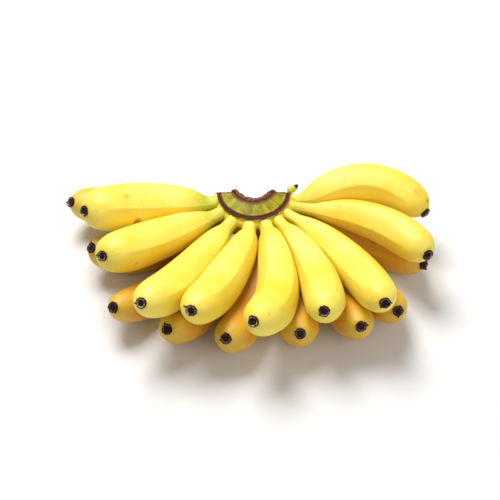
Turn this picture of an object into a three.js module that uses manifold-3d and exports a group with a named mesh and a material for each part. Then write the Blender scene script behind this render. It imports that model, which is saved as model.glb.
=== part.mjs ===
/**
 * A hand of small dessert bananas, cut from its bunch and laid down on the outer curve of its fruit.
 *
 * Two rows of fingers fan out from a half-round crown, the cushion of stalk tissue that joined them
 * to the bunch. Each finger is one fruit with its own stalk, and ends in a dried flower scar. The
 * fingers of the lower row carry the hand, and those of the upper row lie in the grooves between them.
 *
 * Millimetres, +Z up. The fan opens towards -Y and its ends lie along -X and +X. The origin is on the
 * resting plane, under the middle of the hand's outer box.
 */
import * as THREE from "three";
import { mergeVertices } from "three/addons/utils/BufferGeometryUtils.js";
import Module from "manifold-3d";

const wasm = await Module();
wasm.setup();

// ---- Driving dimensions: millimetres, and degrees where the name ends in DEG ----

const FINGER_LENGTH = 124; // stalk and fruit together, along the middle of an average finger
const FINGER_WIDTH = 36; // across the ridges, at the thickest place of an average finger
const STALK_WIDTH = 12; // of an average finger, where it is narrowest
const RIDGES = 5; // a banana has five faces with a soft ridge between each two
const FACE_DEPTH = 0.08; // how far a face lies inside the circle through the ridges, as a share of it
const ROUND_TIP_START = 0.7; // share of the length past which the ridges fade into the round tip

const CROWN_RADIUS = 29; // from the bunch's stem axis to the crown's outer wall
const CROWN_BASE_Z = 29; // underside of the crown
const CROWN_SHOULDER_Z = 54; // top of the outer wall, just under the bract scar
const CROWN_TOP_Z = 60; // where the crown's top skin would meet the stem
const UPPER_STALK_Z = 47.5; // height at which the upper row's stalks leave the crown
const LOWER_STALK_Z = 31.5; // the same for the lower row

const SEAT_GAP = 0.3; // between a stalk and the crown, and between a flower scar and its fruit
const PRESS_GAP = 0.8; // between two fingers that lie against each other

// ---- The fingers ----

/**
 * One line for each finger, from the left end of the hand to the right end, with angles in degrees:
 *   at     where its stalk leaves the crown: 0 is the left end, 90 the middle, 180 the right end
 *   lean   how far its stalk turns along the fan, towards the right end if positive
 *   swirl  how much further its fruit bends along the fan
 *   dip    how far its stalk turns up or, if negative, down
 *   curl   how far its fruit bends upwards from there
 *   long, wide, stalk   its length, width and stalk width, as shares of the average
 *   slim   above 1 it fills out further from the crown, below 1 nearer to it
 *   roll   how far its ridges are turned about its own length, from one that lies on top
 */
const asFinger = ([at, lean, swirl, dip, curl, long, wide, stalk, slim, roll]) => {
  return { at, lean, swirl, dip, curl, long, wide, stalk, slim, roll };
};
// at, lean, swirl, dip, curl, long, wide, stalk, slim, roll
const UPPER_ROW = [
  [10, -18, 44, -7, 34, 0.96, 1.16, 1.04, 0.85, -50],
  [32, -14, 34, -12, 46, 0.98, 1.04, 0.96, 0.95, -57],
  [56, 0, 2, -12, 50, 1.08, 1.0, 0.96, 0.9, -54],
  [84, -20, 2, -12, 50, 0.99, 1.0, 1.0, 0.82, -40],
  [108, -4, -47, -12, 50, 1.07, 1.03, 1.0, 0.8, -40],
  [128, -4, -42, -12, 48, 1.04, 0.96, 0.9, 0.9, -27],
  [147, -8, -38, -10, 40, 1.16, 0.94, 0.8, 0.95, -14],
  [164, 12, -58, 0, 12, 1.1, 0.92, 0.8, 1.15, -4],
  [176, 35, -82, 12, -22, 1.03, 1.0, 0.8, 0.8, -22],
].map(asFinger);
const LOWER_ROW = [
  [2, -30, 52, -27, 62, 1.12, 1.0, 0.9, 0.8, -45],
  [21, -8, 12, -35, 80, 1.0, 1.0, 0.9, 0.8, -50],
  [44, -4, 10, -34, 78, 1.12, 0.9, 0.9, 0.8, -45],
  [70, -10, -2, -35, 79, 1.04, 0.96, 0.9, 0.8, -36],
  [96, -14, -16, -36, 80, 1.0, 0.97, 0.9, 0.8, -36],
  [118, -10, -18, -36, 80, 0.98, 1.0, 0.9, 0.8, -30],
  [138, -5, -34, -34, 78, 1.13, 0.98, 0.9, 0.8, -20],
  [156, -11, -37, -33, 74, 1.2, 0.96, 0.9, 0.8, -10],
  [171, 3, -40, -30, 54, 1.06, 0.88, 0.9, 0.8, -10],
].map(asFinger);

// ---- Shapes ----

const { degToRad, smoothstep } = THREE.MathUtils;
const UP = new THREE.Vector3(0, 0, 1);
const LEFT_END_AZIMUTH_DEG = 180;
const AXIS_STEPS = 60; // stations on a finger's middle line
const SIDES = 3 * RIDGES; // columns round a finger: each ridge, and two lines on each face

/** Half the width along a finger, as a share of the most, against the share of its length. */
const FRUIT_PROFILE = new THREE.SplineCurve(
  [
    [0.12, 0.28],
    [0.21, 0.55],
    [0.36, 0.84],
    [0.62, 1.0],
    [0.84, 0.95],
    [0.95, 0.71],
    [1.0, 0.26],
  ].map(([along, share]) => new THREE.Vector2(along, share)),
);
const FRUIT_STATIONS = 13;
const STALK_FLARE = 1.15; // the stalk widens by this much where it grows into the crown

/** A finger's outline as [distance along it, radius], from the crown to the flower end. */
function outline(spec) {
  const length = spec.long * FINGER_LENGTH;
  const fruit = (spec.wide * FINGER_WIDTH) / 2;
  const stalk = (spec.stalk * STALK_WIDTH) / 2;
  const stalkEnd = FRUIT_PROFILE.points[0];
  const stations = [
    [0, stalk * STALK_FLARE],
    [0.3 * stalkEnd.x * length, stalk],
  ];
  for (const { x, y } of FRUIT_PROFILE.getPoints(FRUIT_STATIONS)) {
    // The stalk's own width gives way to the fruit's as the fruit swells.
    const swell = smoothstep(x, stalkEnd.x, 0.35);
    const along = x ** (1 / spec.slim) * length;
    stations.push([along, stalk * (y / stalkEnd.y) * (1 - swell) + fruit * y * swell]);
  }
  return stations;
}

/** The middle line of a finger: evenly spaced stations with a place and the fruit's radius there. */
class FingerAxis {
  constructor(spec, stalkZ, stations = outline(spec)) {
    this.spec = spec;
    this.outline = stations;
    this.length = stations.at(-1)[0];
    const radiusAt = (along) => {
      const next = stations.findIndex(([x]) => x >= along);
      const i = next < 0 ? stations.length - 1 : Math.max(1, next);
      const [x0, r0] = stations[i - 1];
      const [x1, r1] = stations[i];
      return r0 + ((r1 - r0) * (along - x0)) / (x1 - x0);
    };
    const step = this.length / AXIS_STEPS;
    const place = this.heading(0).setZ(0).setLength(CROWN_RADIUS + SEAT_GAP).setZ(stalkZ);
    this.stations = [];
    for (let i = 0; i <= AXIS_STEPS; i++) {
      const share = i / AXIS_STEPS;
      this.stations.push({ place: place.clone(), radius: radiusAt(share * this.length) });
      place.addScaledVector(this.heading(share + 0.5 / AXIS_STEPS), step);
    }
  }

  /** The direction in which the finger runs at a share of its length. */
  heading(share) {
    const { at, lean, swirl, dip, curl } = this.spec;
    const stalkTurn = smoothstep(share, 0, 0.25);
    const fruitTurn = smoothstep(share, 0.1, 1.05);
    const azimuth = degToRad(LEFT_END_AZIMUTH_DEG + at + lean * stalkTurn + swirl * fruitTurn);
    const rise = degToRad(dip * stalkTurn + curl * fruitTurn);
    return new THREE.Vector3(
      Math.cos(azimuth) * Math.cos(rise),
      Math.sin(azimuth) * Math.cos(rise),
      Math.sin(rise),
    );
  }

  cross(share) {
    const ahead = this.heading(share);
    const side = new THREE.Vector3().crossVectors(ahead, UP).normalize();
    return { ahead, side, top: new THREE.Vector3().crossVectors(side, ahead) };
  }

  /** The station at a distance along the finger, taken between its two neighbours. */
  at(along) {
    const exact = (along / this.length) * AXIS_STEPS;
    const i = Math.min(AXIS_STEPS - 1, Math.floor(exact));
    const place = this.stations[i].place.clone().lerp(this.stations[i + 1].place, exact - i);
    return { place, ...this.cross(along / this.length) };
  }

  /** How far a point is outside the finger's round, unpressed skin; negative if it is inside. */
  distanceTo(point) {
    let nearest = Infinity;
    for (const { place, radius } of this.stations) {
      nearest = Math.min(nearest, place.distanceTo(point) - radius);
    }
    return nearest;
  }
}

/**
 * Fingers that grow against each other, or lie on a table, are pressed flat there. A point of the skin
 * moves in towards the middle line until it is nearer to its own skin than to any neighbour's.
 */
function pressed(skin, core, own, neighbours) {
  const probe = new THREE.Vector3();
  const clear = (share, other) => {
    probe.lerpVectors(core, skin, share);
    return other.distanceTo(probe) - own.distanceTo(probe) >= PRESS_GAP;
  };
  let keep = skin.z < 0 ? core.z / (core.z - skin.z) : 1;
  for (const other of neighbours) {
    if (clear(keep, other)) continue;
    let low = 0;
    let high = keep;
    for (let i = 0; i < 14; i++) {
      const middle = (low + high) / 2;
      if (clear(middle, other)) low = middle;
      else high = middle;
    }
    keep = low;
  }
  return probe.lerpVectors(core, skin, keep);
}

/** A turned blank along +Y, from its outline of [distance along, radius], closed at both ends. */
function turned(stations, sides) {
  const points = [
    [stations[0][0], 0],
    ...stations,
    [stations.at(-1)[0], 0],
  ].map(([along, radius]) => new THREE.Vector2(radius, along));
  const blank = new THREE.LatheGeometry(points, sides);
  blank.deleteAttribute("normal");
  blank.deleteAttribute("uv");
  return mergeVertices(blank, 1e-4);
}

/** A finger: the turned blank, given its ridges, bent along the middle line and pressed. */
function fingerGeometry(axis, neighbours) {
  const geometry = turned(axis.outline, SIDES);
  const position = geometry.getAttribute("position");
  const roll = degToRad(axis.spec.roll);
  for (let i = 0; i < position.count; i++) {
    const [x, along, z] = [position.getX(i), position.getY(i), position.getZ(i)];
    const { place, side, top } = axis.at(along);
    const angle = Math.atan2(x, z);
    const depth = FACE_DEPTH * (1 - smoothstep(along / axis.length, ROUND_TIP_START, 1));
    const radius = Math.hypot(x, z) * (1 - (depth * (1 - Math.cos(RIDGES * angle))) / 2);
    const skin = place
      .clone()
      .addScaledVector(top, radius * Math.cos(angle + roll))
      .addScaledVector(side, radius * Math.sin(angle + roll));
    const end = radius > 0 ? pressed(skin, place, axis, neighbours) : skin;
    position.setXYZ(i, end.x, end.y, end.z);
  }
  return geometry;
}

/** The dried flower scar: a short flared stub with a dished end, on the finger's flat tip. */
const SCAR_OUTLINE = [
  [0, 4.3],
  [1.6, 4.6],
  [2.8, 3.9],
  [2.0, 2.6],
];
function scarGeometry(axis) {
  const geometry = turned(SCAR_OUTLINE, 2 * RIDGES);
  const { place, ahead, side } = axis.at(axis.length);
  const base = place.addScaledVector(ahead, SEAT_GAP);
  const frame = new THREE.Matrix4().makeBasis(side, ahead, side.clone().cross(ahead)).setPosition(base);
  return geometry.applyMatrix4(frame);
}

// ---- The crown ----

function solidOf(geometry) {
  return new wasm.Manifold(
    new wasm.Mesh({
      numProp: 3,
      vertProperties: new Float32Array(geometry.getAttribute("position").array),
      triVerts: new Uint32Array(geometry.index.array),
    }),
  );
}

function geometryOf(solid) {
  const mesh = solid.getMesh();
  return new THREE.BufferGeometry()
    .setAttribute("position", new THREE.BufferAttribute(mesh.vertProperties, 3))
    .setIndex(new THREE.BufferAttribute(mesh.triVerts, 1));
}

const STEM_RADIUS = 20; // of the bunch's stem that the knife followed
const KNIFE_TILT_DEG = 37; // how far the cut leans back from upright
const NOTCH_DEPTH = 10.5; // from the stem axis to the front of the cut, at the top skin
const HORN_Y = -2; // how far back the crown's two ends reach, at the top skin

/** A collar turned about the stem axis, with its back sliced off and the stem's round taken out. */
function crownGeometry() {
  const wall = CROWN_RADIUS;
  const collar = turned(
    [
      [CROWN_BASE_Z, wall - 7],
      [CROWN_BASE_Z + 2, wall - 2],
      [CROWN_BASE_Z + 5, wall],
      [CROWN_SHOULDER_Z - 1, wall],
      [CROWN_SHOULDER_Z + 1, wall + 0.4],
      [CROWN_SHOULDER_Z + 2.4, wall - 1],
      [CROWN_SHOULDER_Z + 2, wall - 2.6],
      [CROWN_TOP_Z - 1, wall - 11],
      [CROWN_TOP_Z, wall - 20],
    ],
    48,
  );
  collar.rotateX(Math.PI / 2);
  const tall = 3 * CROWN_TOP_Z;
  const atTop = new THREE.Matrix4()
    .makeTranslation(0, 0, CROWN_TOP_Z - 2)
    .multiply(new THREE.Matrix4().makeRotationX(degToRad(KNIFE_TILT_DEG)));
  const stem = new THREE.CylinderGeometry(STEM_RADIUS, STEM_RADIUS, tall, 48).rotateX(Math.PI / 2);
  stem.translate(0, STEM_RADIUS - NOTCH_DEPTH, 0);
  const back = new THREE.BoxGeometry(4 * wall, 2 * wall, tall).translate(0, wall + HORN_Y, 0);
  let crown = solidOf(collar);
  for (const tool of [stem, back]) {
    tool.deleteAttribute("normal");
    tool.deleteAttribute("uv");
    crown = crown.subtract(solidOf(mergeVertices(tool.applyMatrix4(atTop), 1e-4)));
  }
  return geometryOf(crown);
}

/** A finger that never filled: a thin pointed stub above the last stalk of the right end. */
const STUNTED = { at: 186, lean: 14, swirl: 10, dip: 20, curl: 20, roll: 0 };
const STUNTED_STALK_Z = 53;
const STUNTED_OUTLINE = [
  [0, 3.1],
  [2.5, 2.7],
  [5.5, 2.6],
  [8, 1.7],
  [10, 0.6],
];

// ---- Assembly ----

const peel = new THREE.MeshStandardMaterial({ color: 0xf4d636, roughness: 0.5, metalness: 0 });
const greenSkin = new THREE.MeshStandardMaterial({ color: 0xa3a83a, roughness: 0.7, metalness: 0 });
const driedTissue = new THREE.MeshStandardMaterial({ color: 0x3a2622, roughness: 0.85, metalness: 0 });

const hand = new THREE.Group();

function add(name, geometry, material) {
  const mesh = new THREE.Mesh(geometry, material);
  mesh.name = name;
  hand.add(mesh);
}

const rows = [
  ["upper", UPPER_ROW.map((spec) => new FingerAxis(spec, UPPER_STALK_Z))],
  ["lower", LOWER_ROW.map((spec) => new FingerAxis(spec, LOWER_STALK_Z))],
];
const stunted = new FingerAxis(STUNTED, STUNTED_STALK_Z, STUNTED_OUTLINE);
const everyAxis = [...rows.flatMap(([, axes]) => axes), stunted];
const neighboursOf = (axis) => everyAxis.filter((other) => other !== axis);

add("crown", crownGeometry(), greenSkin);
for (const [row, axes] of rows) {
  axes.forEach((axis, i) => {
    add(`${row}_finger_${i + 1}`, fingerGeometry(axis, neighboursOf(axis)), peel);
    add(`${row}_flower_scar_${i + 1}`, scarGeometry(axis), driedTissue);
  });
}
add("stunted_finger", fingerGeometry(stunted, neighboursOf(stunted)), greenSkin);

// The origin is under the middle of the hand's outer box.
const box = new THREE.Box3().setFromObject(hand, true);
const middle = box.getCenter(new THREE.Vector3());
hand.position.set(-middle.x, -middle.y, 0);

export default hand;
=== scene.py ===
"""A hand of small ripe dessert bananas, lying on its lower row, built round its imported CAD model."""
import math

import bpy
import numpy as np
from mathutils import Matrix, Vector, noise


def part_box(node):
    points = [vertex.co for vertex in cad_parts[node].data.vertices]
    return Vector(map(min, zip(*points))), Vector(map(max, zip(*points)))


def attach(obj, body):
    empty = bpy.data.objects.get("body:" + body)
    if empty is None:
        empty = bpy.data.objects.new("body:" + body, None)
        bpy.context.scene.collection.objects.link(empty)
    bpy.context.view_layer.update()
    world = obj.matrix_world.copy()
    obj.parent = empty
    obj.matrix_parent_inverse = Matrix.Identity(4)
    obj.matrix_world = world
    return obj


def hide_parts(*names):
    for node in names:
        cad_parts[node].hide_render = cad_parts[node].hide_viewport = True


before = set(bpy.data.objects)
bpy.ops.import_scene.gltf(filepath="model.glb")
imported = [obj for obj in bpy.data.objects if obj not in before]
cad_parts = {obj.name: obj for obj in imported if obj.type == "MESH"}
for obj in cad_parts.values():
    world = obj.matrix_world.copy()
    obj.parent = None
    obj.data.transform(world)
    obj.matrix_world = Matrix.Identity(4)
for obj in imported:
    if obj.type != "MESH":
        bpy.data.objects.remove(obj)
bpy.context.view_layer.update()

MM = 0.001

# ---- Where the crown stands -------------------------------------------------------------------
# Everything is laid out from the crown: the bunch's stem ran through it along +Z, and the fan of
# fruit opens from it towards -Y.

crown_low, crown_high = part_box("crown")
SCAR_RING_RADIUS = 29.4 * MM  # of the bract scar, the crown's widest place
stem_axis = Vector(((crown_low.x + crown_high.x) / 2, crown_low.y + SCAR_RING_RADIUS, 0))

# ---- Camera -----------------------------------------------------------------------------------
# It looks down on the lying hand from the side that the fruit point to.

CAMERA_ELEVATION = math.radians(50)
CAMERA_DISTANCE = 0.96
CAMERA_LENS_MM = 85
AIM_FROM_CROWN = Vector((-3, -33, -6)) * MM
crown_front = Vector((stem_axis.x, crown_low.y, crown_high.z))
camera_target = crown_front + AIM_FROM_CROWN
towards_camera = Vector((0, -math.cos(CAMERA_ELEVATION), math.sin(CAMERA_ELEVATION)))
bpy.ops.object.camera_add(
    location=camera_target + CAMERA_DISTANCE * towards_camera,
    rotation=(math.pi / 2 - CAMERA_ELEVATION, 0, 0),
)
camera = bpy.context.object
camera.data.lens = CAMERA_LENS_MM
bpy.context.scene.camera = camera

# ---- Floor and light --------------------------------------------------------------------------
# A plain pale floor. The key lamp hangs above and behind the hand, a weaker one stands at the
# right front, and a dim white world lights the hand from all round.

FLOOR_SIZE = 8
FLOOR_GREY = 0.82
FLOOR_ROUGHNESS = 0.9
WORLD_STRENGTH = 0.28
bpy.ops.mesh.primitive_plane_add(size=FLOOR_SIZE, location=(0, 0, 0))
floor = bpy.context.object
floor.name = "floor"
paper = bpy.data.materials.new("pale_floor")
paper.use_nodes = True
paper_shader = paper.node_tree.nodes["Principled BSDF"]
paper_shader.inputs["Base Color"].default_value = (FLOOR_GREY, FLOOR_GREY, FLOOR_GREY, 1)
paper_shader.inputs["Roughness"].default_value = FLOOR_ROUGHNESS
floor.data.materials.append(paper)

SOFT_LAMPS = {  # name: (place, size, watts)
    "key_lamp": ((-0.3, 0.5, 1.3), 0.7, 23),
    "right_lamp": ((0.95, -0.75, 0.8), 1.0, 5.5),
}
for name, (place, size, watts) in SOFT_LAMPS.items():
    bpy.ops.object.light_add(type="AREA", location=place)
    lamp = bpy.context.object
    lamp.name = name
    lamp.data.size = size
    lamp.data.energy = watts
    lamp.rotation_euler = (-Vector(place)).to_track_quat("-Z", "Y").to_euler()
world = bpy.data.worlds.new("studio")
bpy.context.scene.world = world
world.use_nodes = True
background = world.node_tree.nodes["Background"]
background.inputs["Color"].default_value = (1, 1, 1, 1)
background.inputs["Strength"].default_value = WORLD_STRENGTH
bpy.context.scene.view_settings.view_transform = "Standard"

# ---- Fingers ----------------------------------------------------------------------------------
# Each finger is one fruit with its own stalk, grown from the crown: firm flesh in a smooth peel
# with five soft ridges. Where fruits press on each other or on the table they are flattened.

FINGERS = [f"{row}_finger_{i}" for row in ("upper", "lower") for i in range(1, 10)]
MERGE_DISTANCE = 0.02 * MM


def only_select(piece):
    """Makes one object the selected and the active one."""
    bpy.ops.object.select_all(action="DESELECT")
    piece.select_set(True)
    bpy.context.view_layer.objects.active = piece


def merged_copy(node, name):
    """A new object with a CAD node's surface, whose loose triangles are joined at their corners."""
    piece = bpy.data.objects.new(name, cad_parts[node].data.copy())
    bpy.context.collection.objects.link(piece)
    piece.data.materials.clear()
    only_select(piece)
    bpy.ops.object.mode_set(mode="EDIT")
    bpy.ops.mesh.select_all(action="SELECT")
    bpy.ops.mesh.remove_doubles(threshold=MERGE_DISTANCE)
    bpy.ops.object.mode_set(mode="OBJECT")
    return piece


def apply_modifiers(piece):
    """Applies an object's modifiers in their order."""
    only_select(piece)
    for modifier in list(piece.modifiers):
        bpy.ops.object.modifier_apply(modifier=modifier.name)


def points_of(mesh):
    """A mesh's points as an array, one row each."""
    flat = np.empty(3 * len(mesh.vertices))
    mesh.vertices.foreach_get("co", flat)
    return flat.reshape(-1, 3)


def move_points(mesh, points):
    """Puts a mesh's points where the array says."""
    mesh.vertices.foreach_set("co", points.ravel())
    mesh.update()


def write_attribute(mesh, name, kind, values):
    """Stores a value, or a vector, for each point of a mesh, for its material to read."""
    layer = mesh.attributes.new(name, kind, "POINT")
    layer.data.foreach_set("vector" if kind == "FLOAT_VECTOR" else "value", values.ravel())


def rings_from_crown(mesh):
    """The turned surface's rings of points, from the end at the crown to the far end."""
    linked = [[] for _ in mesh.vertices]
    for edge in mesh.edges:
        a, b = edge.vertices
        linked[a].append(b)
        linked[b].append(a)
    poles = sorted(range(len(linked)), key=lambda i: -len(linked[i]))[:2]
    start = min(poles, key=lambda i: (mesh.vertices[i].co - stem_axis).xy.length)
    rings = [[start]]
    seen = {start}
    while rings[-1]:
        onward = {j for i in rings[-1] for j in linked[i]} - seen
        seen |= onward
        rings.append(sorted(onward))
    return rings[:-1]


class FingerLine:
    """The middle line of a finger, from which a point of its skin gets a place along and around it."""

    def __init__(self, mesh):
        rings = rings_from_crown(mesh)
        points = points_of(mesh)
        self.stations = np.array([points[ring].mean(axis=0) for ring in rings[1:-1]])
        self.steps = np.diff(self.stations, axis=0)
        self.step_lengths = np.linalg.norm(self.steps, axis=1)
        self.distances = np.concatenate([[0], np.cumsum(self.step_lengths)])
        self.length = self.distances[-1]

    def heading(self, at_tip):
        """The way the line goes at its tip, or at its foot on the crown."""
        step = self.steps[-1 if at_tip else 0]
        return Vector(step).normalized()

    def measure(self, points):
        """For each point: its distance along the line, and its offset sideways and upwards from it."""
        best = np.full(len(points), np.inf)
        along = np.zeros(len(points))
        offset = np.zeros((len(points), 2))
        for start, step, length, distance in zip(
            self.stations, self.steps, self.step_lengths, self.distances
        ):
            ahead = step / length
            share = np.clip((points - start) @ ahead / length, 0, 1)
            apart = points - start - share[:, None] * step
            away = np.linalg.norm(apart, axis=1)
            side = np.cross(ahead, (0, 0, 1))
            side /= np.linalg.norm(side)
            top = np.cross(side, ahead)
            nearer = away < best
            best[nearer] = away[nearer]
            along[nearer] = distance + share[nearer] * length
            offset[nearer] = np.stack([apart @ side, apart @ top], axis=1)[nearer]
        return along, offset


FATTEN = 0.45 * MM  # makes up for what smoothing takes off the skin
RIDGE_ANGLE = math.radians(28)
RIDGE_CREASE = 0.55
RIDGES = 5
RIDGELESS_RINGS = 2  # at each end of a finger
SMOOTHING_LEVELS = 3


def crease_ridges(piece, rings):
    """Selects the sharp edges that run along the finger and keeps them firmer than the rest."""
    ring_of = {i: n for n, ring in enumerate(rings) for i in ring}
    only_select(piece)
    bpy.ops.object.mode_set(mode="EDIT")
    bpy.ops.mesh.select_mode(type="EDGE")
    bpy.ops.mesh.select_all(action="DESELECT")
    bpy.ops.mesh.edges_select_sharp(sharpness=RIDGE_ANGLE)
    bpy.ops.object.mode_set(mode="OBJECT")
    for edge in piece.data.edges:
        a, b = (ring_of[i] for i in edge.vertices)
        if a == b or min(a, b) < RIDGELESS_RINGS or max(a, b) >= len(rings) - RIDGELESS_RINGS:
            edge.select = False
    bpy.ops.object.mode_set(mode="EDIT")
    bpy.ops.transform.edge_crease(value=RIDGE_CREASE)
    bpy.ops.object.mode_set(mode="OBJECT")


def smooth_step(values, low, high):
    """0 below the low value and 1 above the high one, with a soft rise between them."""
    share = np.clip((values - low) / (high - low), 0, 1)
    return share * share * (3 - 2 * share)


# How green the neck and the tip still are, and how deep a painted shade turns the yellow, from 0 to 1.
# The lower row lies under the upper one, so it gets the most painted shade, as ochre.
UPPER_RIPENESS_AND_SHADE = (0.38, 0.12, 0.0)
LOWER_RIPENESS_AND_SHADE = (0.2, 0.38, 0.95)
RIPENESS_AND_SHADE = {
    "upper_finger_1": (0.72, 0.35, 0.05),
    "upper_finger_2": (0.62, 0.4, 0.05),
    "upper_finger_3": (0.5, 0.15, 0.0),
    "upper_finger_8": (0.55, 0.1, 0.15),
    "upper_finger_9": (0.5, 0.0, 0.1),
    "lower_finger_1": (0.3, 0.3, 0.45),
    "stunted_finger": (1.0, 1.0, 0.0),
}
NECK_END = 0.26  # of a finger's length, as are the next three
TIP_START = 0.86
RIDGES_RISE = (0.15, 0.35)
RIDGES_CLEAR = (0.3, 0.9)
PATTERN_STEP = 0.31  # in metres, between one finger's pattern and the next one's

# Soft brown bruises: (share of the length, degrees round from the top, radius in mm, strength).
BRUISES = {
    "upper_finger_1": [(0.72, -18, 5, 0.45), (0.63, -88, 7, 0.75), (0.5, -92, 5, 0.4)],
    "upper_finger_2": [(0.8, -95, 4, 0.4)],
    "upper_finger_7": [(0.55, 12, 3, 0.25)],
    "upper_finger_9": [(0.9, 0, 7, 0.35), (0.97, -30, 2, 0.8)],
    "lower_finger_1": [(0.85, 5, 6, 0.5)],
    "lower_finger_4": [(0.78, 10, 5, 0.35)],
}


class Field:
    """A value in a material's nodes. Sums written with it add their Math nodes."""

    def __init__(self, recipe, socket):
        self.recipe = recipe
        self.socket = socket

    def math(self, operation, *values):
        sockets = dict(enumerate(values))
        return self.recipe.node("ShaderNodeMath", {"operation": operation}, sockets)

    def __add__(self, other):
        return self.math("ADD", self, other)

    def __sub__(self, other):
        return self.math("SUBTRACT", self, other)

    def __rsub__(self, other):
        return self.math("SUBTRACT", other, self)

    def __mul__(self, other):
        return self.math("MULTIPLY", self, other)

    __radd__ = __add__
    __rmul__ = __mul__


class Recipe:
    """A material with one Principled shader, and what its pattern nodes are made with."""

    def __init__(self, name):
        self.material = bpy.data.materials.new(name)
        self.material.use_nodes = True
        self.tree = self.material.node_tree
        self.shader = self.tree.nodes["Principled BSDF"]

    def node(self, kind, settings=None, sockets=None, output=0):
        made = self.tree.nodes.new(kind)
        for key, value in (settings or {}).items():
            setattr(made, key, value)
        for key, value in (sockets or {}).items():
            self.feed(made.inputs[key], value)
        return Field(self, made.outputs[output])

    def feed(self, socket, value):
        if isinstance(value, Field):
            self.tree.links.new(value.socket, socket)
        else:
            socket.default_value = value

    def finish(self, **values):
        """Sets the shader's own sockets: Base_Color=..., Roughness=... and so on."""
        for key, value in values.items():
            self.feed(self.shader.inputs[key.replace("_", " ")], value)
        return self.material

    def attribute(self, name, vector=False):
        settings = {"attribute_name": name}
        return self.node("ShaderNodeAttribute", settings, output="Vector" if vector else "Fac")

    def noise(self, place, scale, detail=3.0, roughness=0.5):
        sockets = {"Vector": place, "Scale": scale, "Detail": detail, "Roughness": roughness}
        return self.node("ShaderNodeTexNoise", {}, sockets, output="Fac")

    def stretched(self, place, factors):
        settings = {"operation": "MULTIPLY"}
        return self.node("ShaderNodeVectorMath", settings, {0: place, 1: factors})

    def rise(self, value, low, high):
        """0 below the low value and 1 above the high one, with a soft rise between them."""
        sockets = {"Value": value, "From Min": low, "From Max": high}
        return self.node("ShaderNodeMapRange", {"interpolation_type": "SMOOTHSTEP"}, sockets)

    def blend(self, share, below, above):
        """One colour laid over another by a share."""
        settings = {"data_type": "RGBA", "blend_type": "MIX"}
        return self.node("ShaderNodeMix", settings, {0: share, 6: below, 7: above}, output=2)

    def bump(self, height, distance, strength):
        sockets = {"Height": height, "Distance": distance, "Strength": strength}
        return self.node("ShaderNodeBump", {}, sockets)


def colour(red, green, blue):
    """A shader colour from the three 0-255 values of a colour chart."""
    return tuple((c / 255) ** 2.2 for c in (red, green, blue)) + (1.0,)


PALE_YELLOW = colour(250, 228, 94)
WARM_YELLOW = colour(248, 212, 44)
OCHRE = colour(216, 150, 0)
NECK_GREEN = colour(184, 188, 34)
RIDGE_GREEN = colour(226, 214, 74)
SPECK_BROWN = colour(122, 74, 20)
BRUISE_BROWN = colour(178, 104, 26)

SUBSURFACE_RADIUS = (1.0, 0.45, 0.08)


def peel_colour(recipe, place, ochre_shade_and_tone, green, ridge):
    """The colours of ripening banana peel, which the fingers and the crown's cushion share.

    Gives the colour, and the clouds and the fibres that it was mixed with. The ochre share is painted
    shade on the fingers, and tone on the crown's cushion and the stub.
    """
    cloud = recipe.noise(place, 38, detail=4)
    fibres = recipe.noise(recipe.stretched(place, (9, 9, 1)), 60, detail=4, roughness=0.6)
    yellow = recipe.blend(recipe.rise(cloud, 0.3, 0.8), PALE_YELLOW, WARM_YELLOW)
    # Ochre over the yellow: painted shade on the fingers, deepest on the lower row that lies under the
    # upper one.
    yellow = recipe.blend(ochre_shade_and_tone * (0.6 + 0.5 * cloud), yellow, OCHRE)
    yellow = recipe.blend(ridge * 0.3 * fibres, yellow, RIDGE_GREEN)
    greenness = recipe.rise(green + 0.5 * fibres + 0.3 * cloud - 0.4, 0.1, 0.95)
    return recipe.blend(greenness, yellow, NECK_GREEN), cloud, fibres


def peel_material():
    """Waxy yellow peel, green towards the neck and the tip, with a few freckles and soft bruises."""
    recipe = Recipe("banana_peel")
    place = recipe.attribute("unbent", vector=True)
    bruise = recipe.attribute("bruise")
    skin, cloud, fibres = peel_colour(
        recipe,
        place,
        recipe.attribute("ochre_shade_and_tone"),
        recipe.attribute("green"),
        recipe.rise(recipe.attribute("ridge"), 0.8, 1.0),
    )
    spots = {"Vector": place, "Scale": 150, "Randomness": 1.0}
    spot_edge = recipe.node("ShaderNodeTexVoronoi", {}, spots, output="Distance")
    few = recipe.rise(recipe.noise(place, 55, detail=1), 0.6, 0.66)
    freckles = (1 - recipe.rise(spot_edge, 0.05, 0.12)) * few
    patches = recipe.rise(bruise * (0.55 + 0.9 * recipe.noise(place, 260, detail=5)), 0.12, 0.9)
    skin = recipe.blend(patches, skin, BRUISE_BROWN)
    skin = recipe.blend(freckles * 0.8, skin, SPECK_BROWN)
    pores = recipe.noise(place, 1500, detail=2)
    return recipe.finish(
        Base_Color=skin,
        Roughness=0.5 + 0.12 * cloud + 0.15 * patches,
        Specular_IOR_Level=0.8,
        Normal=recipe.bump(0.8 * fibres + 0.4 * pores + 0.3 * cloud, 0.4 * MM, 0.4),
        Subsurface_Weight=0.12,
        Subsurface_Radius=SUBSURFACE_RADIUS,
        Subsurface_Scale=3 * MM,
    )


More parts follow.
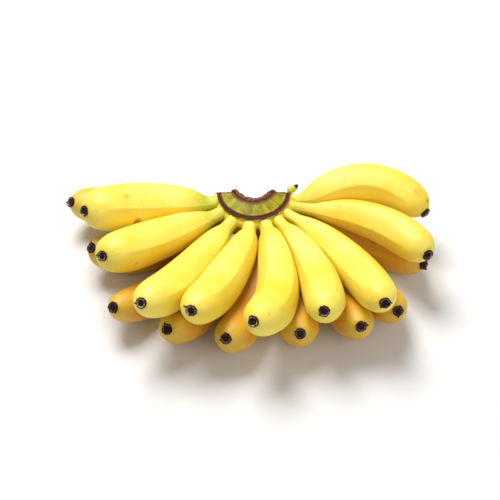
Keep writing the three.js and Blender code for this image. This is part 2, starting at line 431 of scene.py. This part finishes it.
def grow_finger(node, name, material):
    """A finger from its CAD node: smoothed, with firm ridges, and marked with where it is ripe and how
    deep its painted shade is.
    """
    finger = merged_copy(node, name)
    rings = rings_from_crown(finger.data)
    line = FingerLine(finger.data)
    bpy.ops.object.mode_set(mode="EDIT")
    bpy.ops.mesh.select_all(action="SELECT")
    bpy.ops.mesh.tris_convert_to_quads(face_threshold=math.pi, shape_threshold=math.pi)
    bpy.ops.transform.shrink_fatten(value=FATTEN)
    bpy.ops.object.mode_set(mode="OBJECT")
    crease_ridges(finger, rings)
    smoothing = finger.modifiers.new("smoothing", "SUBSURF")
    smoothing.levels = smoothing.render_levels = SMOOTHING_LEVELS
    apply_modifiers(finger)
    points = points_of(finger.data)
    points[:, 2] = np.maximum(points[:, 2], 0)
    move_points(finger.data, points)
    along, offset = line.measure(points)
    share = along / line.length
    angle = np.arctan2(offset[:, 0], offset[:, 1])
    radius = np.hypot(offset[:, 0], offset[:, 1])
    middle = (share > RIDGES_CLEAR[0]) & (share < RIDGES_CLEAR[1])
    wave = np.sum(radius[middle] * np.exp(1j * RIDGES * angle[middle]))
    ridge = 0.5 + 0.5 * np.cos(RIDGES * angle - np.angle(wave))
    # The third value is the finger's painted shade, how far its yellow is painted down to ochre.
    neck_green, tip_green, depth = RIPENESS_AND_SHADE.get(
        node, UPPER_RIPENESS_AND_SHADE if node.startswith("upper") else LOWER_RIPENESS_AND_SHADE
    )
    neck = neck_green * (1 - smooth_step(share, 0.3 * NECK_END, 1.3 * NECK_END))
    tip = tip_green * smooth_step(share, TIP_START, 1)
    bruise = np.zeros(len(points))
    for at, degrees, size, strength in BRUISES.get(node, []):
        turn = np.angle(np.exp(1j * (angle - math.radians(degrees))))
        away = np.hypot(along - at * line.length, turn * radius) / (size * MM)
        bruise = np.maximum(bruise, strength * (1 - smooth_step(away, 0.2, 1.3)))
    unbent = np.column_stack([offset, along + len(fingers) * PATTERN_STEP])
    write_attribute(finger.data, "unbent", "FLOAT_VECTOR", unbent)
    write_attribute(finger.data, "green", "FLOAT", neck + tip)
    # Painted shade, the same all along the finger, for the ochre in the peel.
    write_attribute(finger.data, "ochre_shade_and_tone", "FLOAT", np.full(len(points), depth))
    write_attribute(finger.data, "ridge", "FLOAT", ridge * smooth_step(share, *RIDGES_RISE))
    write_attribute(finger.data, "bruise", "FLOAT", bruise)
    bpy.ops.object.shade_smooth()
    finger.data.materials.append(material)
    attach(finger, "root")
    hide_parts(node)
    fingers[node] = finger
    finger_lines[node] = line


fingers = {}
finger_lines = {}
banana_peel = peel_material()
for node in FINGERS:
    grow_finger(node, node.replace("finger", "banana"), banana_peel)

# ---- Flower scars -----------------------------------------------------------------------------
# The stub of the flower that dried and fell off each finger's tip: a hard, almost black disc with
# a raised grey rim, a dished middle with a knob, and torn bits of the flower's base round it.

SCAR_RADIUS = 4.5 * MM
SCAR_HEIGHT = 3.0 * MM
SCAR_SINK = 1.2 * MM  # of the scar's foot, into the finger's tip
SCAR_SEED = 40
SCAR_NOISE_STEP = 17  # between one scar's wrinkles and the next one's
SCAR_WRINKLES = [(0.3, 0.9), (0.16, 2.4)]  # (depth in mm, how many a mm)
ANY_PHASE = (0, 6.3)
RIM_RISES = (0.54, 0.64)  # of the scar's radius
RIM_FALLS = (0.76, 0.88)

# How grey the rim has weathered, from 0 to 1.
UPPER_WEATHERING = 1.0
LOWER_WEATHERING = 0.3
WEATHERED = {
    "upper_finger_6": 0.6,
    "upper_finger_7": 0.7,
    "upper_finger_8": 0.5,
    "lower_finger_1": 0.7,
}


def scar_blank():
    """The disc that every scar starts from, shaped by insets from a short cylinder."""
    bpy.ops.object.select_all(action="DESELECT")
    bpy.ops.mesh.primitive_cylinder_add(
        vertices=40, radius=SCAR_RADIUS, depth=SCAR_HEIGHT, location=(0, 0, SCAR_HEIGHT / 2)
    )
    blank = bpy.context.object
    bpy.ops.object.transform_apply(location=True)
    bpy.ops.object.mode_set(mode="EDIT")
    bpy.ops.mesh.select_mode(type="FACE")
    bpy.ops.mesh.select_all(action="DESELECT")
    bpy.ops.object.mode_set(mode="OBJECT")
    for face in blank.data.polygons:
        face.select = face.normal.z > 0.9
    bpy.ops.object.mode_set(mode="EDIT")
    for thickness, depth in [
        (0.45, 0.5),  # the rim's outer slope
        (0.55, 0.0),  # its flat top
        (0.45, -0.9),  # its inner wall
        (0.9, -0.3),  # the dished middle
        (0.5, 0.6),  # the knob's side
        (0.7, 0.25),  # its top
    ]:
        bpy.ops.mesh.inset(thickness=thickness * MM, depth=depth * MM)
    bpy.ops.mesh.merge(type="CENTER")
    bpy.ops.object.mode_set(mode="OBJECT")
    smoothing = blank.modifiers.new("smoothing", "SUBSURF")
    smoothing.levels = smoothing.render_levels = 2
    apply_modifiers(blank)
    return blank


def shape_scar(points, seed):
    """Makes a blank's points into one dried scar, unlike the others: lobed, torn and wrinkled."""
    rng = np.random.default_rng(seed)
    radius = np.hypot(points[:, 0], points[:, 1])
    angle = np.arctan2(points[:, 1], points[:, 0])
    outer = smooth_step(radius, 0.55 * SCAR_RADIUS, SCAR_RADIUS)
    high = smooth_step(points[:, 2], 0.4 * SCAR_HEIGHT, SCAR_HEIGHT)
    wobble = sum(
        rng.uniform(0.01, 0.035) * np.cos(k * angle + rng.uniform(*ANY_PHASE)) for k in (2, 3, 5, 9)
    )
    grow = 1 + wobble * outer
    lift = high * outer * MM * sum(
        rng.uniform(0.1, 0.25) * np.cos(k * angle + rng.uniform(*ANY_PHASE)) for k in (1, 2, 3, 7)
    )
    for _ in range(rng.integers(1, 4)):  # torn bits
        turn = np.angle(np.exp(1j * (angle - rng.uniform(-np.pi, np.pi))))
        bit = np.exp(-((turn / rng.uniform(0.1, 0.17)) ** 2)) * outer * high
        grow += rng.uniform(0.15, 0.4) * bit
        lift += rng.uniform(0.2, 1.1) * MM * bit
    shaped = points * np.column_stack([grow, grow, np.ones(len(points))])
    shaped[:, 2] += lift
    for i, point in enumerate(shaped):
        place = Vector(point / MM) + Vector((0, 0, SCAR_NOISE_STEP * seed))
        shaped[i] += sum(depth * noise.noise(place * often) for depth, often in SCAR_WRINKLES) * MM
    return shaped


def scar_material():
    """Dead flower tissue: near black and wrinkled, weathered to lilac grey on the rim."""
    recipe = Recipe("dried_flower_scar")
    place = recipe.attribute("on_scar", vector=True)
    rim = recipe.attribute("scar_rim")
    wrinkles = recipe.noise(place, 900, detail=5, roughness=0.65)
    patches = recipe.noise(place, 260, detail=3)
    flecks = recipe.rise(wrinkles, 0.4, 0.66)
    dark = recipe.blend(flecks, colour(16, 6, 9), colour(78, 44, 38))
    worn = recipe.blend(flecks, colour(104, 78, 82), colour(222, 200, 202))
    skin = recipe.blend(rim * recipe.rise(patches + 0.3 * wrinkles, 0.5, 0.7), dark, worn)
    return recipe.finish(
        Base_Color=skin,
        Roughness=0.65 + 0.3 * wrinkles,
        Specular_IOR_Level=0.2,
        Normal=recipe.bump(wrinkles, 0.6 * MM, 0.8),
    )


flower_scar = scar_blank()
scar_points = points_of(flower_scar.data)
dried_scar = scar_material()
for number, node in enumerate(FINGERS):
    scar_node = node.replace("finger", "flower_scar")
    scar = bpy.data.objects.new(node.replace("finger", "dried_scar"), flower_scar.data.copy())
    bpy.context.collection.objects.link(scar)
    shaped = shape_scar(scar_points, SCAR_SEED + number)
    from_centre = np.hypot(scar_points[:, 0], scar_points[:, 1]) / SCAR_RADIUS
    usual = UPPER_WEATHERING if node.startswith("upper") else LOWER_WEATHERING
    rim = smooth_step(from_centre, *RIM_RISES) * (1 - smooth_step(from_centre, *RIM_FALLS))
    rim *= WEATHERED.get(node, usual)
    move_points(scar.data, shaped)
    write_attribute(scar.data, "on_scar", "FLOAT_VECTOR", shaped + number)
    write_attribute(scar.data, "scar_rim", "FLOAT", rim)
    line = finger_lines[node]
    ahead = line.heading(at_tip=True)
    scar.rotation_euler = ahead.to_track_quat("Z", "Y").to_euler()
    scar.location = Vector(line.stations[-1]) - SCAR_SINK * ahead
    only_select(scar)
    bpy.ops.object.transform_apply(location=True, rotation=True, scale=True)
    bpy.ops.object.shade_smooth()
    scar.data.materials.append(dried_scar)
    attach(scar, "root")
    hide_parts(scar_node)
bpy.data.objects.remove(flower_scar)

# ---- Crown ------------------------------------------------------------------------------------
# The half-round cushion of stalk tissue that held the hand to the bunch's stem: green skin on top,
# the double brown line of the fallen bract round it, and the dry cut where the knife went through.

STEM_RADIUS = 20 * MM  # of the round cut that follows the bunch's stem
NOTCH_CENTRE = 9.5 * MM  # of that round, behind the stem axis
HORN_DEPTH = 2 * MM  # of the straight cut, in front of the stem axis
KNIFE_HEIGHT = 58 * MM  # on the stem axis
KNIFE_TILT = math.radians(37)
VOXEL = 0.5 * MM

knife = (
    Matrix.Translation((stem_axis.x, stem_axis.y, KNIFE_HEIGHT))
    @ Matrix.Rotation(KNIFE_TILT, 4, "X")
)
knife_back = knife.to_3x3() @ Vector((0, 1, 0))


def add_part(make, **settings):
    """Adds a primitive and keeps it for the crown's lump."""
    bpy.ops.object.select_all(action="DESELECT")
    make(**settings)
    bpy.ops.object.transform_apply(location=True, rotation=True, scale=True)
    crown_parts.append(bpy.context.object)
    return bpy.context.object


def bisect_part(part, place, outward):
    """Cuts a part off at a plane and closes the cut."""
    only_select(part)
    bpy.ops.object.mode_set(mode="EDIT")
    bpy.ops.mesh.select_all(action="SELECT")
    bpy.ops.mesh.bisect(plane_co=place, plane_no=outward, clear_outer=True, use_fill=True)
    bpy.ops.object.mode_set(mode="OBJECT")


# The cushion swells up round the foot of each stalk and runs out along it as a collar.
COLLAR_FOOT_RADIUS = 6.4 * MM
COLLAR_END_RADIUS = 3.6 * MM
COLLAR_LENGTH = 15 * MM
COLLAR_SHIFT = 2.5 * MM  # of its middle, from the foot out along the stalk

crown_parts = []
for line in finger_lines.values():
    ahead = line.heading(at_tip=False)
    add_part(
        bpy.ops.mesh.primitive_cone_add,
        vertices=32,
        radius1=COLLAR_FOOT_RADIUS,
        radius2=COLLAR_END_RADIUS,
        depth=COLLAR_LENGTH,
        location=Vector(line.stations[0]) + COLLAR_SHIFT * ahead,
        rotation=ahead.to_track_quat("Z", "Y").to_euler(),
    )

# Rings round the stem axis: (radius, height, thickness).
BRACT_LINES = [(28.3 * MM, 56.0 * MM, 0.8 * MM), (30.0 * MM, 54.9 * MM, 0.9 * MM)]
CUSHION_SWELLINGS = [(28.0 * MM, 47.0 * MM, 5.6 * MM), (27.0 * MM, 33.5 * MM, 5.0 * MM)]
for ring_radius, height, thickness in BRACT_LINES + CUSHION_SWELLINGS:
    ring = add_part(
        bpy.ops.mesh.primitive_torus_add,
        major_segments=180,
        minor_segments=12,
        major_radius=ring_radius,
        minor_radius=thickness,
        location=(stem_axis.x, stem_axis.y, height),
    )
    bisect_part(ring, knife @ Vector((0, -HORN_DEPTH, 0)), knife_back)

CUT_RIM_RADIUS = 18.3 * MM
CUT_RIM_THICKNESS = 1.9 * MM
CUT_RIM_FLATNESS = 0.75
CUT_RIM_LIFT = 1.3 * MM
CUT_RIM_END = 1 * MM  # behind the straight cut
cut_rim = add_part(
    bpy.ops.mesh.primitive_torus_add,
    major_segments=120,
    minor_segments=16,
    major_radius=CUT_RIM_RADIUS,
    minor_radius=CUT_RIM_THICKNESS,
)
cut_rim.matrix_world = (
    knife
    @ Matrix.Translation((0, NOTCH_CENTRE, CUT_RIM_LIFT))
    @ Matrix.Diagonal((1, 1, CUT_RIM_FLATNESS, 1))
)
bpy.ops.object.transform_apply(location=True, rotation=True, scale=True)
bisect_part(cut_rim, knife @ Vector((0, -HORN_DEPTH + CUT_RIM_END, 0)), knife_back)

CUT_KNOBS = [  # torn bits of stem left on the cut: (across, behind the edge, up, radius) in mm
    (-16.9, -1.2, 1.6, 1.7),
    (-15.2, -0.4, 1.9, 1.4),
    (15.6, -0.6, 1.4, 1.3),
    (17.8, -2.2, 0.4, 1.7),
]
for across, behind, up, radius in CUT_KNOBS:
    add_part(
        bpy.ops.mesh.primitive_ico_sphere_add,
        subdivisions=3,
        radius=radius * MM,
        location=knife @ (Vector((across, behind, up)) * MM),
    )

crown = merged_copy("crown", "crown_cushion")
for part in crown_parts:
    part.select_set(True)
bpy.ops.object.join()
lump = crown.modifiers.new("lump", "REMESH")
lump.mode = "VOXEL"
lump.voxel_size = VOXEL
soften = crown.modifiers.new("soften", "SMOOTH")
soften.factor = 0.5
soften.iterations = 5
apply_modifiers(crown)


def knife_places(points):
    """Points as the knife saw them: along its edge, across it, and down its blade."""
    inverse = np.array(knife.inverted())
    return points @ inverse[:3, :3].T + inverse[:3, 3]


# Where the crown's skins begin and end: each pair is where a soft edge starts and where it is done.
TOP_SKIN_HEIGHTS = (53.2 * MM, 53.9 * MM)
BRACT_HEIGHTS = (53.2 * MM, 54.0 * MM)
BRACT_INNER_EDGE = (27.0 * MM, 27.7 * MM)  # from the stem axis, as are the next two
BRACT_OUTER_EDGE = (30.6 * MM, 31.4 * MM)
CROWN_OUTER_EDGE = (29.5 * MM, 31 * MM)
NOTCH_EDGE = (STEM_RADIUS + 0.2 * MM, STEM_RADIUS + 0.9 * MM)  # from the notch's centre
SCORCH_EDGE = (STEM_RADIUS + 1 * MM, STEM_RADIUS + 6 * MM)
KNIFE_EDGE = (-HORN_DEPTH - 0.9 * MM, -HORN_DEPTH - 0.3 * MM)  # across the knife, as is the next
KNIFE_FAR_EDGE = (-HORN_DEPTH + 0.5 * MM, -HORN_DEPTH + 1.1 * MM)
RIM_DEPTHS = (-2.5 * MM, -0.8 * MM)  # down the knife
RIM_FRONT_RADIUS = STEM_RADIUS + 0.2 * MM
RIM_BACK_RADIUS = 16.4 * MM
CREST_WIDTH = 0.9 * MM
UNROLLED_RADIUS = 0.03  # at which a turn round the crown is measured as a length
COARSE_GRAIN = 1.6 * MM
FINE_GRAIN = 0.7 * MM

points = points_of(crown.data)
local = knife_places(points)
from_stem = np.hypot(points[:, 0] - stem_axis.x, points[:, 1] - stem_axis.y)
around = np.arctan2(points[:, 1] - stem_axis.y, points[:, 0] - stem_axis.x)
from_notch = np.hypot(local[:, 0], local[:, 1] - NOTCH_CENTRE)
on_top = smooth_step(points[:, 2], *TOP_SKIN_HEIGHTS)
bract = smooth_step(from_stem, *BRACT_INNER_EDGE) * smooth_step(points[:, 2], *BRACT_HEIGHTS)
crest = np.max(
    [1 - smooth_step(np.abs(from_stem - radius), 0, CREST_WIDTH) for radius, _, _ in BRACT_LINES],
    axis=0,
)
in_notch = 1 - smooth_step(from_notch, *NOTCH_EDGE)
beyond_crown = smooth_step(local[:, 1], *KNIFE_FAR_EDGE) * smooth_step(from_stem, *CROWN_OUTER_EDGE)
cut = np.maximum(in_notch, smooth_step(local[:, 1], *KNIFE_EDGE) * (1 - beyond_crown))
rim = on_top * np.maximum(
    1 - smooth_step(np.abs(from_notch - RIM_FRONT_RADIUS), 0.5 * MM, 1.3 * MM),
    1 - smooth_step(np.abs(from_notch - RIM_BACK_RADIUS), 0.2 * MM, 0.9 * MM),
)
rim *= smooth_step(local[:, 2], *RIM_DEPTHS)
scorch = on_top * (1 - smooth_step(from_notch, *SCORCH_EDGE))
cushion = np.maximum(1 - on_top, smooth_step(from_stem, *BRACT_OUTER_EDGE))
unrolled = np.column_stack([around * UNROLLED_RADIUS, from_stem, points[:, 2]])
write_attribute(crown.data, "unrolled", "FLOAT_VECTOR", unrolled)
write_attribute(crown.data, "bract", "FLOAT", bract * (1 - cushion))
write_attribute(crown.data, "crest", "FLOAT", crest)
write_attribute(crown.data, "cut", "FLOAT", cut)
write_attribute(crown.data, "rim", "FLOAT", rim)
write_attribute(crown.data, "scorch", "FLOAT", scorch)
write_attribute(crown.data, "cushion", "FLOAT", cushion)

normals = np.empty(3 * len(points))
crown.data.vertices.foreach_get("normal", normals)
normals = normals.reshape(-1, 3)
lumps = np.array(
    [
        noise.noise(Vector(point) / COARSE_GRAIN) + 0.5 * noise.noise(Vector(point) / FINE_GRAIN)
        for point in points
    ]
)
lump_depth = 0.08 + 0.7 * np.maximum(rim, 0.7 * cut) + 0.35 * bract  # in mm
points += normals * (lumps * lump_depth * MM)[:, None]
move_points(crown.data, points)
only_select(crown)
bpy.ops.object.shade_smooth()


CROWN_GREENS = colour(130, 126, 4), colour(174, 164, 18)
STREAK_BROWN = colour(116, 80, 8)
STREAK_YELLOW = colour(188, 176, 48)
SCORCH_BROWN = colour(104, 58, 8)
CORK_BROWNS = colour(44, 18, 10), colour(122, 70, 48)
RUST_BROWNS = colour(84, 38, 18), colour(176, 106, 70)
DRIED_BROWNS = colour(92, 50, 28), colour(186, 134, 84)
CUT_LINE_BROWN = colour(52, 26, 18)
RIM_BROWNS = colour(34, 18, 16), colour(90, 58, 50)


def crown_material():
    """Green skin streaked with brown, brown corky scar lines, rust-brown dry cut, yellow cushion."""
    recipe = Recipe("crown_skin")
    place = recipe.attribute("unrolled", vector=True)
    bract = recipe.attribute("bract")
    cut = recipe.attribute("cut")
    rim = recipe.attribute("rim")
    cushion = recipe.attribute("cushion")
    streaks = recipe.noise(recipe.stretched(place, (1, 0.2, 0.3)), 300, detail=6, roughness=0.66)
    cloud = recipe.noise(place, 130, detail=4)
    grain = recipe.noise(place, 1400, detail=4, roughness=0.65)
    green = recipe.blend(recipe.rise(cloud, 0.3, 0.7), *CROWN_GREENS)
    green = recipe.blend(recipe.rise(streaks, 0.44, 0.72) * 0.75, green, STREAK_BROWN)
    green = recipe.blend(recipe.rise(1 - streaks, 0.52, 0.75) * 0.6, green, STREAK_YELLOW)
    yellow, _, _ = peel_colour(recipe, place, 0.25 * cloud, 0.25 * cloud, 0)
    burn = recipe.rise(recipe.attribute("scorch") * (0.3 + streaks + 0.6 * cloud), 0.25, 1.1)
    green = recipe.blend(burn, green, SCORCH_BROWN)
    skin = recipe.blend(cushion, green, yellow)
    cork = recipe.blend(recipe.attribute("crest") * (0.4 + 0.8 * grain), *CORK_BROWNS)
    skin = recipe.blend(bract, skin, cork)
    rust = recipe.blend(recipe.rise(grain + 0.4 * streaks, 0.45, 0.95), *RUST_BROWNS)
    dried = recipe.blend(recipe.rise(grain, 0.35, 0.65), *DRIED_BROWNS)
    rust = recipe.blend(recipe.rise(cloud + 0.3 * grain, 0.52, 0.8), rust, dried)
    skin = recipe.blend(cut, skin, rust)
    skin = recipe.blend(cut * (1 - cut) * 3.2, skin, CUT_LINE_BROWN)
    skin = recipe.blend(rim, skin, recipe.blend(grain, *RIM_BROWNS))
    rough = recipe.rise(bract + cut + rim, 0, 1)
    return recipe.finish(
        Base_Color=skin,
        Roughness=0.58 + 0.3 * rough,
        Specular_IOR_Level=0.35,
        Normal=recipe.bump(streaks * 0.35 + grain * (0.2 + 0.8 * rough), 0.5 * MM, 0.45),
        Subsurface_Weight=0.08,
        Subsurface_Radius=SUBSURFACE_RADIUS,
        Subsurface_Scale=3 * MM,
    )


crown.data.materials.clear()
crown.data.materials.append(crown_material())
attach(crown, "root")
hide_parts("crown")

# ---- Stunted finger ---------------------------------------------------------------------------
# A finger that never filled: a thin green stub at the right end of the crown. It has no flower
# scar of its own, and its tip has gone dark and dead.

DEAD_TIP = (0.62, 0.92)  # of its length
DEAD_BROWN = colour(58, 32, 20)


def stub_material():
    """Green skin that turns dark and dead at the tip."""
    recipe = Recipe("stunted_skin")
    place = recipe.attribute("unbent", vector=True)
    dead = recipe.attribute("dead")
    green = recipe.attribute("green")
    skin, _, fibres = peel_colour(recipe, place, 0.1 * green, 0.7 + 0.3 * green, 0)
    dead = recipe.rise(dead + 0.4 * fibres, 0.3, 0.8)
    skin = recipe.blend(dead, skin, DEAD_BROWN)
    return recipe.finish(
        Base_Color=skin,
        Roughness=0.45 + 0.4 * dead,
        Normal=recipe.bump(fibres + 0.5 * dead, 0.4 * MM, 0.4),
    )


grow_finger("stunted_finger", "stunted_banana", stub_material())
stub = fingers["stunted_finger"]
stub_line = finger_lines["stunted_finger"]
along, _ = stub_line.measure(points_of(stub.data))
write_attribute(stub.data, "dead", "FLOAT", smooth_step(along / stub_line.length, *DEAD_TIP))
